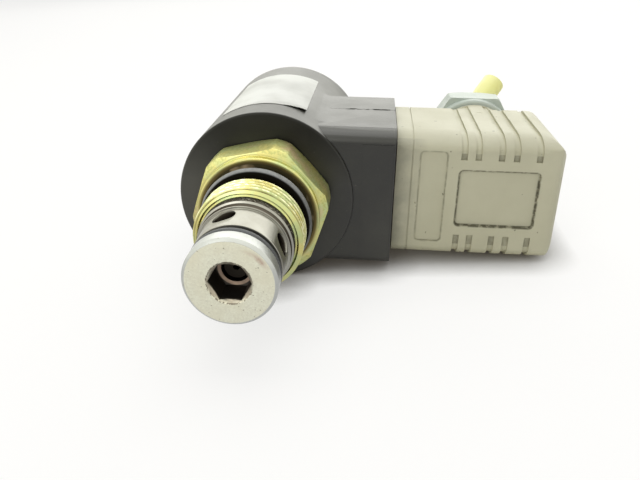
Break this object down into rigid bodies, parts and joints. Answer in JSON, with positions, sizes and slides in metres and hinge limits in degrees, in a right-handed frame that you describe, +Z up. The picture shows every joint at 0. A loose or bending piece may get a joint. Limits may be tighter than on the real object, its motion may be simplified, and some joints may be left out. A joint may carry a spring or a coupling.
{
  "type": "solenoid cartridge valve",
  "caption": "Screw-in cartridge valve with hexagon body, ported nose, round solenoid coil and a square cable plug with a bent cable stub.",
  "frame": {"origin": "middle of the footprint on the table that the valve lies on", "axes": "-Y out of the cartridge's nose, along its axis; +X towards the cable plug; +Z up, with the coil's round side and the plug's lower far edge on the table"},
  "size_m": [0.0812, 0.0976, 0.0373],
  "materials": {
    "zinc_plated_steel": "yellow passivated zinc",
    "turned_steel": "turned",
    "spring_steel": "plain",
    "soft_iron": "plain",
    "brass": "turned",
    "tinned_contact": "tinned",
    "copper_winding": "enamelled",
    "black_rubber": "satin",
    "charcoal_moulding": "fine grain",
    "black_moulding": "matt",
    "grey_moulding": "fine grain",
    "pale_moulding": "satin",
    "label_film": "matt film",
    "yellow_jacket": "satin",
    "brown_insulation": "satin",
    "blue_insulation": "satin",
    "green_insulation": "satin"
  },
  "bodies": {
    "cartridge": {"valve_body": "zinc_plated_steel", "cage": "turned_steel", "nose_insert": "turned_steel", "nose_seal": "black_rubber", "body_seal": "black_rubber", "poppet_spring": "spring_steel", "armature_tube": "turned_steel", "pole_piece": "soft_iron", "armature_spring": "spring_steel", "front_coil_seal": "black_rubber", "rear_coil_seal": "black_rubber"},
    "poppet_body": {"poppet": "turned_steel"},
    "armature_body": {"armature": "soft_iron", "pilot_pin": "turned_steel"},
    "coil_nut_body": {"coil_nut": "zinc_plated_steel"},
    "coil_body": {"coil_housing": "charcoal_moulding", "yoke_shell": "soft_iron", "front_flux_washer": "soft_iron", "rear_flux_washer": "soft_iron", "bobbin": "black_moulding", "winding": "copper_winding", "blade_1": "tinned_contact", "blade_2": "tinned_contact", "blade_earth": "tinned_contact", "tower_nut": "brass", "type_label": "label_film"},
    "plug_body": {"plug_housing": "grey_moulding", "plug_gasket": "black_rubber", "terminal_block": "black_moulding", "contact_1": "tinned_contact", "contact_2": "tinned_contact", "contact_earth": "tinned_contact", "clamp_screw_1": "spring_steel", "clamp_screw_2": "spring_steel", "clamp_screw_earth": "spring_steel", "gland_washer": "turned_steel", "gland_seal": "black_rubber", "cable_jacket": "yellow_jacket", "core_1": "brown_insulation", "core_2": "blue_insulation", "core_earth": "green_insulation"},
    "plug_screw_body": {"plug_screw": "turned_steel", "plug_screw_seal": "black_rubber"},
    "gland_nut_body": {"gland_nut": "pale_moulding"}
  },
  "joints": [
    {"name": "armature_slide", "type": "slide", "parent": "cartridge", "child": "armature_body", "axis": [0, 1, 0], "range_m": [0, 0.0022], "stiffness_N_per_m": 400, "springref_m": -0.003, "deforming": ["armature_spring"]},
    {"name": "poppet_slide", "type": "slide", "parent": "cartridge", "child": "poppet_body", "axis": [0, 1, 0], "range_m": [0, 0.0018], "stiffness_N_per_m": 200, "springref_m": -0.003, "deforming": ["poppet_spring"]},
    {"name": "coil_swivel", "type": "hinge", "parent": "cartridge", "child": "coil_body", "pos_m": [-0.02213, -0.01204, 0.0185], "axis": [0, 1, 0], "continuous": true},
    {"name": "coil_nut_turn", "type": "hinge", "parent": "cartridge", "child": "coil_nut_body", "pos_m": [-0.02213, 0.03846, 0.0185], "axis": [0, 1, 0], "continuous": true},
    {"name": "plug_pull", "type": "slide", "parent": "coil_body", "child": "plug_body", "axis": [0.9967, 0, -0.081], "range_m": [0, 0.012]},
    {"name": "plug_screw_turn", "type": "hinge", "parent": "plug_body", "child": "plug_screw_body", "pos_m": [0.00488, 0.00511, 0.0163], "axis": [0.9967, 0, -0.081], "continuous": true},
    {"name": "gland_nut_turn", "type": "hinge", "parent": "plug_body", "child": "gland_nut_body", "pos_m": [0.02458, 0.02087, 0.01932], "axis": [0, 1, 0], "continuous": true}
  ],
  "couplings": [
    {"joint": "poppet_slide", "follows": "armature_slide", "ratio": 0.8}
  ]
}
